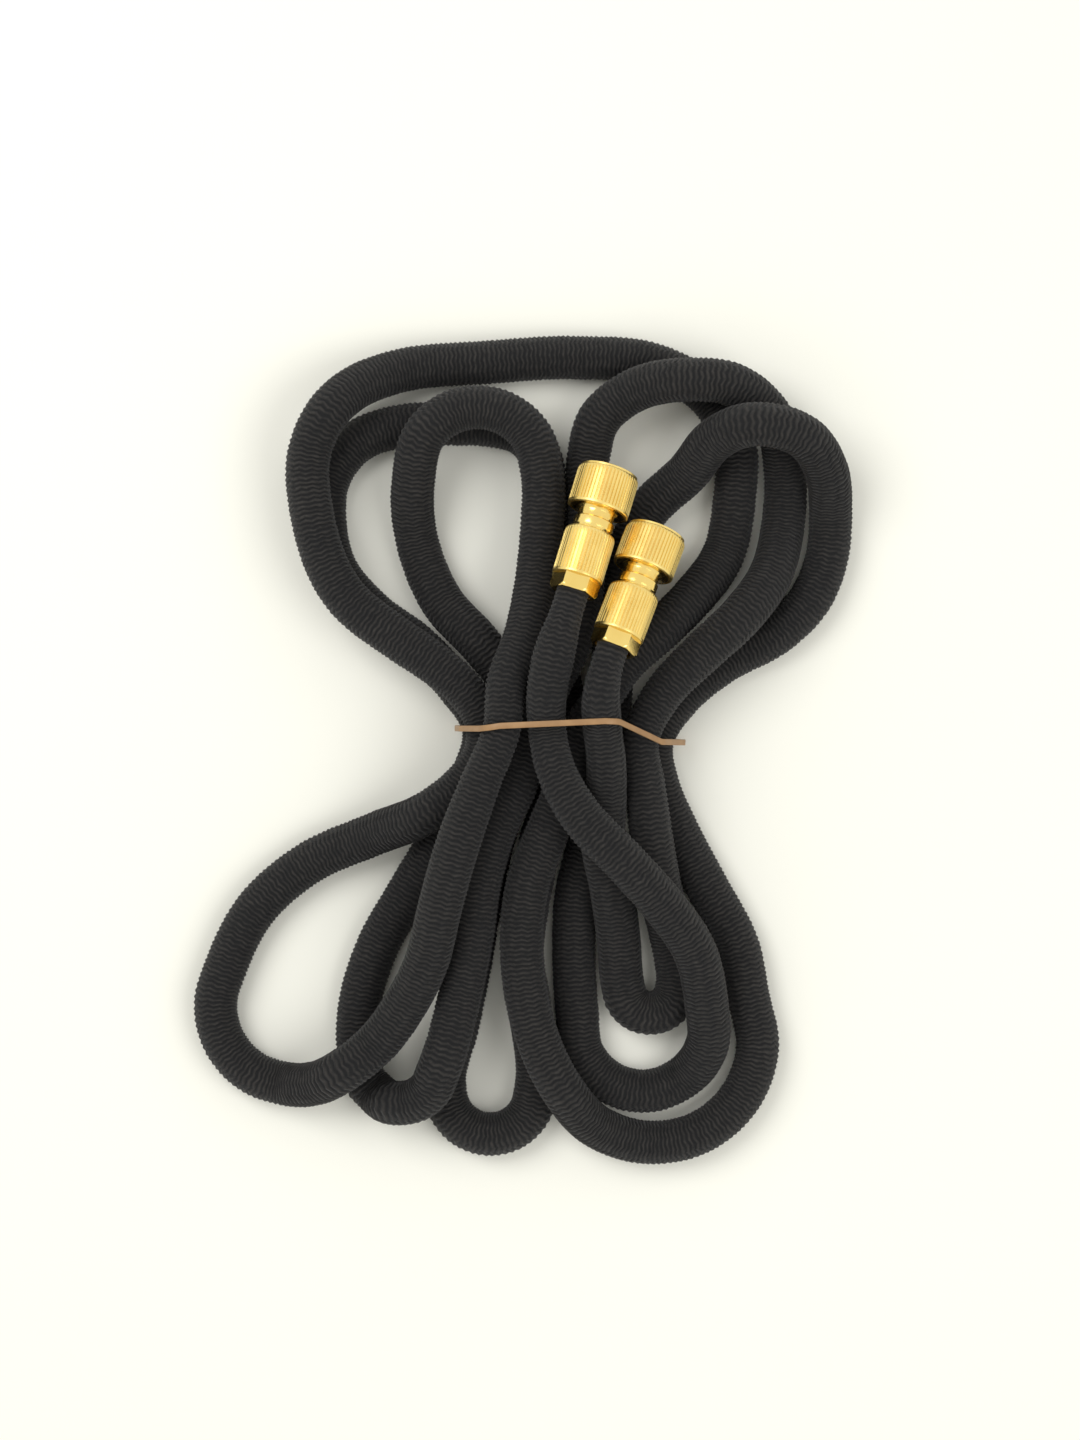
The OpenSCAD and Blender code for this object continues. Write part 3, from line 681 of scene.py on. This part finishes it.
def cut_knurl(made, teeth, groove, back):
    """Presses grooves into a turned piece of four columns a tooth, as far back as that."""
    for vertex in made.verts:
        radius = vertex.co.xy.length
        turn = math.atan2(vertex.co.y, vertex.co.x)
        tooth, column = divmod(round(turn / (math.pi / 2) * teeth), len(TOOTH_COLUMNS))
        turn = 2 * math.pi * (tooth + TOOTH_COLUMNS[column]) / teeth
        if column > 1 and vertex.co.z < back * MM:
            radius = min(radius, groove * MM)
        vertex.co.x, vertex.co.y = radius * math.cos(turn), radius * math.sin(turn)


satin_brass = brass_finish("satin_brass", (0.8, 0.55, 0.15), (0.92, 0.73, 0.28), 0.3)
for end, place in PLACES.items():
    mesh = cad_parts["retaining_clip_" + end].data
    mesh.materials.clear()
    mesh.materials.append(satin_brass)
    made = turned(collar_outline, len(TOOTH_COLUMNS) * COLLAR_TEETH, soften=0.1)
    cut_knurl(made, COLLAR_TEETH, COLLAR_GROOVE, COLLAR_KNURL_END)
    bmesh.ops.transform(made, matrix=place, verts=made.verts)
    collar = kept_piece("knurled_collar_" + end, made, [satin_brass], sharp=35)
    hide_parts("release_collar_" + end)
    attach(collar, "collar_" + end)

# ---- Hose nuts ------------------------------------------------------------------------------
# A knurled brass nut, screwed on the body's thread so that its cone closes the collet on the
# sleeve. Its back is a polished hexagon for a spanner, rounded off at the corners.
NUT_TEETH = 44
NUT_GROOVE = 9.87
NUT_KNURL_END = 45.15
HEX_CORNER = 9.7
HEX_COLUMNS = 72
nut_outline = [
    (8.9, 26.6), (9.2, 26.6), (9.65, 26.9), (9.95, 27.5), (10.12, 28.3), (10.2, 29.4), (10.2, 45),
    (10.2, 45.3), (10.2, 46.1), (9.9, 46.4), (7, 46.4), (7.47, 45.6), (8.17, 38.2), (8.5, 37.6),
    (8.5, 27),
]
hexagon_outline = [
    (7, 46.2), (HEX_CORNER, 46.2), (HEX_CORNER, 51.4), (9.1, 52.3), (8.6, 52.6), (7.4, 52.6),
    (7, 52.2),
]
for end, place in PLACES.items():
    made = turned(nut_outline, len(TOOTH_COLUMNS) * NUT_TEETH, soften=0.1)
    cut_knurl(made, NUT_TEETH, NUT_GROOVE, NUT_KNURL_END)
    hexagon = turned(hexagon_outline, HEX_COLUMNS, soften=0.12)
    for vertex in hexagon.verts:
        corner = math.degrees(math.atan2(vertex.co.y, vertex.co.x)) % 60 - 30
        flat = HEX_CORNER * MM * math.cos(math.pi / 6) / math.cos(math.radians(corner))
        radius = vertex.co.xy.length
        vertex.co.xy = vertex.co.xy * (min(radius, flat) / radius)
    for face in hexagon.faces:
        face.material_index = 1
    mesh = bpy.data.meshes.new("hexagon")
    hexagon.to_mesh(mesh)
    hexagon.free()
    made.from_mesh(mesh)
    bpy.data.meshes.remove(mesh)
    bmesh.ops.transform(made, matrix=place, verts=made.verts)
    nut = kept_piece("knurled_nut_" + end, made, [satin_brass, polished_brass], sharp=30)
    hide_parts("hose_nut_" + end)
    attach(nut, "nut_" + end)

# ---- Waist band -----------------------------------------------------------------------------
# A flat tan rubber band, slipped over the hank's waist, that draws the runs together. It is one
# closed strip that lies on the outermost runs and is straight between them.
BAND_WIDTH = 0.0024
BAND_THICK = 0.0008
# How far the strip's four long edges are rounded, and the turn in radians that marks them
BAND_EDGE = 0.0002
BAND_EDGE_TURN = 1
BAND_Y = 8
BAND_TURN = -2
BAND_SLID = 0.005
BAND_RADIUS = 8.4
# The middles, across and up, of the runs that the band goes round
BAND_RUNS = [(-18.4, 9.3), (57.4, 9.3), (49.8, 26), (32.5, 43), (-8.8, 43.2), (-16.4, 26)]
ARC_STEPS = 8

band_line = []
for i, (x, z) in enumerate(BAND_RUNS):
    before, after = BAND_RUNS[i - 1], BAND_RUNS[(i + 1) % len(BAND_RUNS)]
    first = math.atan2(z - before[1], x - before[0]) - math.pi / 2
    last = math.atan2(after[1] - z, after[0] - x) - math.pi / 2
    sweep = (last - first) % (2 * math.pi)
    for k in range(ARC_STEPS + 1):
        turn = first + sweep * k / ARC_STEPS
        band_line.append((x + BAND_RADIUS * math.cos(turn), z + BAND_RADIUS * math.sin(turn)))
band = bmesh.new()
lower_edge = [band.verts.new((x * MM, -BAND_WIDTH / 2, z * MM)) for x, z in band_line]
edges = [band.edges.new((a, b)) for a, b in zip(lower_edge, lower_edge[1:] + lower_edge[:1])]
drawn = bmesh.ops.extrude_edge_only(band, edges=edges)
for vertex in drawn["geom"]:
    if isinstance(vertex, bmesh.types.BMVert):
        vertex.co.y += BAND_WIDTH
bmesh.ops.recalc_face_normals(band, faces=band.faces)
bmesh.ops.solidify(band, geom=band.faces[:], thickness=-BAND_THICK)
bmesh.ops.bevel(
    band, geom=[edge for edge in band.edges if edge.calc_face_angle(0) > BAND_EDGE_TURN],
    offset=BAND_EDGE, segments=2, profile=0.5, affect="EDGES", material=-1,
)
# It has slid up over the middle runs, where it lies higher for that, and down at its right end
UP_FROM, UP_OVER = -22, 34
DOWN_FROM, DOWN_OVER = 37, 17
DOWN_SHARE = 1.5
RISE_SHARE = 0.5
BAND_TOP = 0.045
for vertex in band.verts:
    x = vertex.co.x / MM
    moved_up = ease((x - UP_FROM) / UP_OVER)
    slid = BAND_SLID * (moved_up - DOWN_SHARE * ease((x - DOWN_FROM) / DOWN_OVER))
    vertex.co.y += slid
    vertex.co.z += max(0, RISE_SHARE * slid) * (vertex.co.z > BAND_TOP)
at_waist = Matrix.Translation((0, BAND_Y * MM, 0))
bmesh.ops.transform(
    band, matrix=at_waist @ Matrix.Rotation(math.radians(BAND_TURN), 4, "Z"), verts=band.verts,
)
bmesh.ops.recalc_face_normals(band, faces=band.faces)

tan_rubber, shader, start = new_finish("tan_rubber", {"Roughness": 0.45})
position = start.node("ShaderNodeTexCoord", {}, {}, output=3)
cloud = start.node("ShaderNodeTexNoise", {}, {"Vector": position, "Scale": 220, "Detail": 3})
cloud.between((0.25, 0.13, 0.05), (0.42, 0.24, 0.1)).feed(shader, "Base Color")
start.node(
    "ShaderNodeBump", {}, {"Strength": 0.2, "Distance": 0.0001, "Height": cloud}
).feed(shader, "Normal")
waist_band = kept_piece("rubber_band", band, [tan_rubber], sharp=60)
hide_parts("waist_band")
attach(waist_band, "hank")

# ---- Floor and light ------------------------------------------------------------------------
# A pale sheet under the hank, two soft boxes above it and an even white surround.
floor_paper, shader, start = new_finish(
    "floor_paper", {"Roughness": 0.9, "Specular IOR Level": 0.1}
)
position = start.node("ShaderNodeTexCoord", {}, {}, output=3)
grain = start.node("ShaderNodeTexNoise", {}, {"Vector": position, "Scale": 6, "Detail": 2})
grain.between((0.95, 0.94, 0.85), (0.97, 0.96, 0.87)).feed(shader, "Base Color")
SHEET_REACH = 3
sheet = bmesh.new()
bmesh.ops.create_grid(sheet, x_segments=4, y_segments=4, size=SHEET_REACH)
floor = kept_piece("floor", sheet, [floor_paper])

BOX_WIDTH = 0.9
soft_boxes = {"left_box": ((-0.7, 0.5, 1.2), 8), "right_box": ((0.8, -0.3, 1.3), 5.6)}
for name, (spot, power) in soft_boxes.items():
    lamp = bpy.data.lights.new(name, "AREA")
    lamp.shape = "DISK"
    lamp.size = BOX_WIDTH
    lamp.energy = power
    box = bpy.data.objects.new(name, lamp)
    box.location = spot
    box.rotation_euler = (-Vector(spot)).to_track_quat("-Z", "Y").to_euler()
    bpy.context.scene.collection.objects.link(box)

world = bpy.data.worlds.new("surround")
world.use_nodes = True
bpy.context.scene.world = world
start = Shade(world.node_tree)
seen = start.node("ShaderNodeLightPath", {}, {}, output="Is Camera Ray")
mirrored = start.node("ShaderNodeLightPath", {}, {}, output="Is Glossy Ray")
clear = start.node("ShaderNodeLightPath", {}, {}, output="Is Transmission Ray")
# How bright the surround is as a light, against 1 where it is seen or mirrored
SURROUND = 0.68
strength = (seen + mirrored + clear) * (1 - SURROUND) + SURROUND
backdrop = world.node_tree.nodes["Background"]
backdrop.inputs["Color"].default_value = (1, 1, 0.98, 1)
strength.feed(backdrop, "Strength")
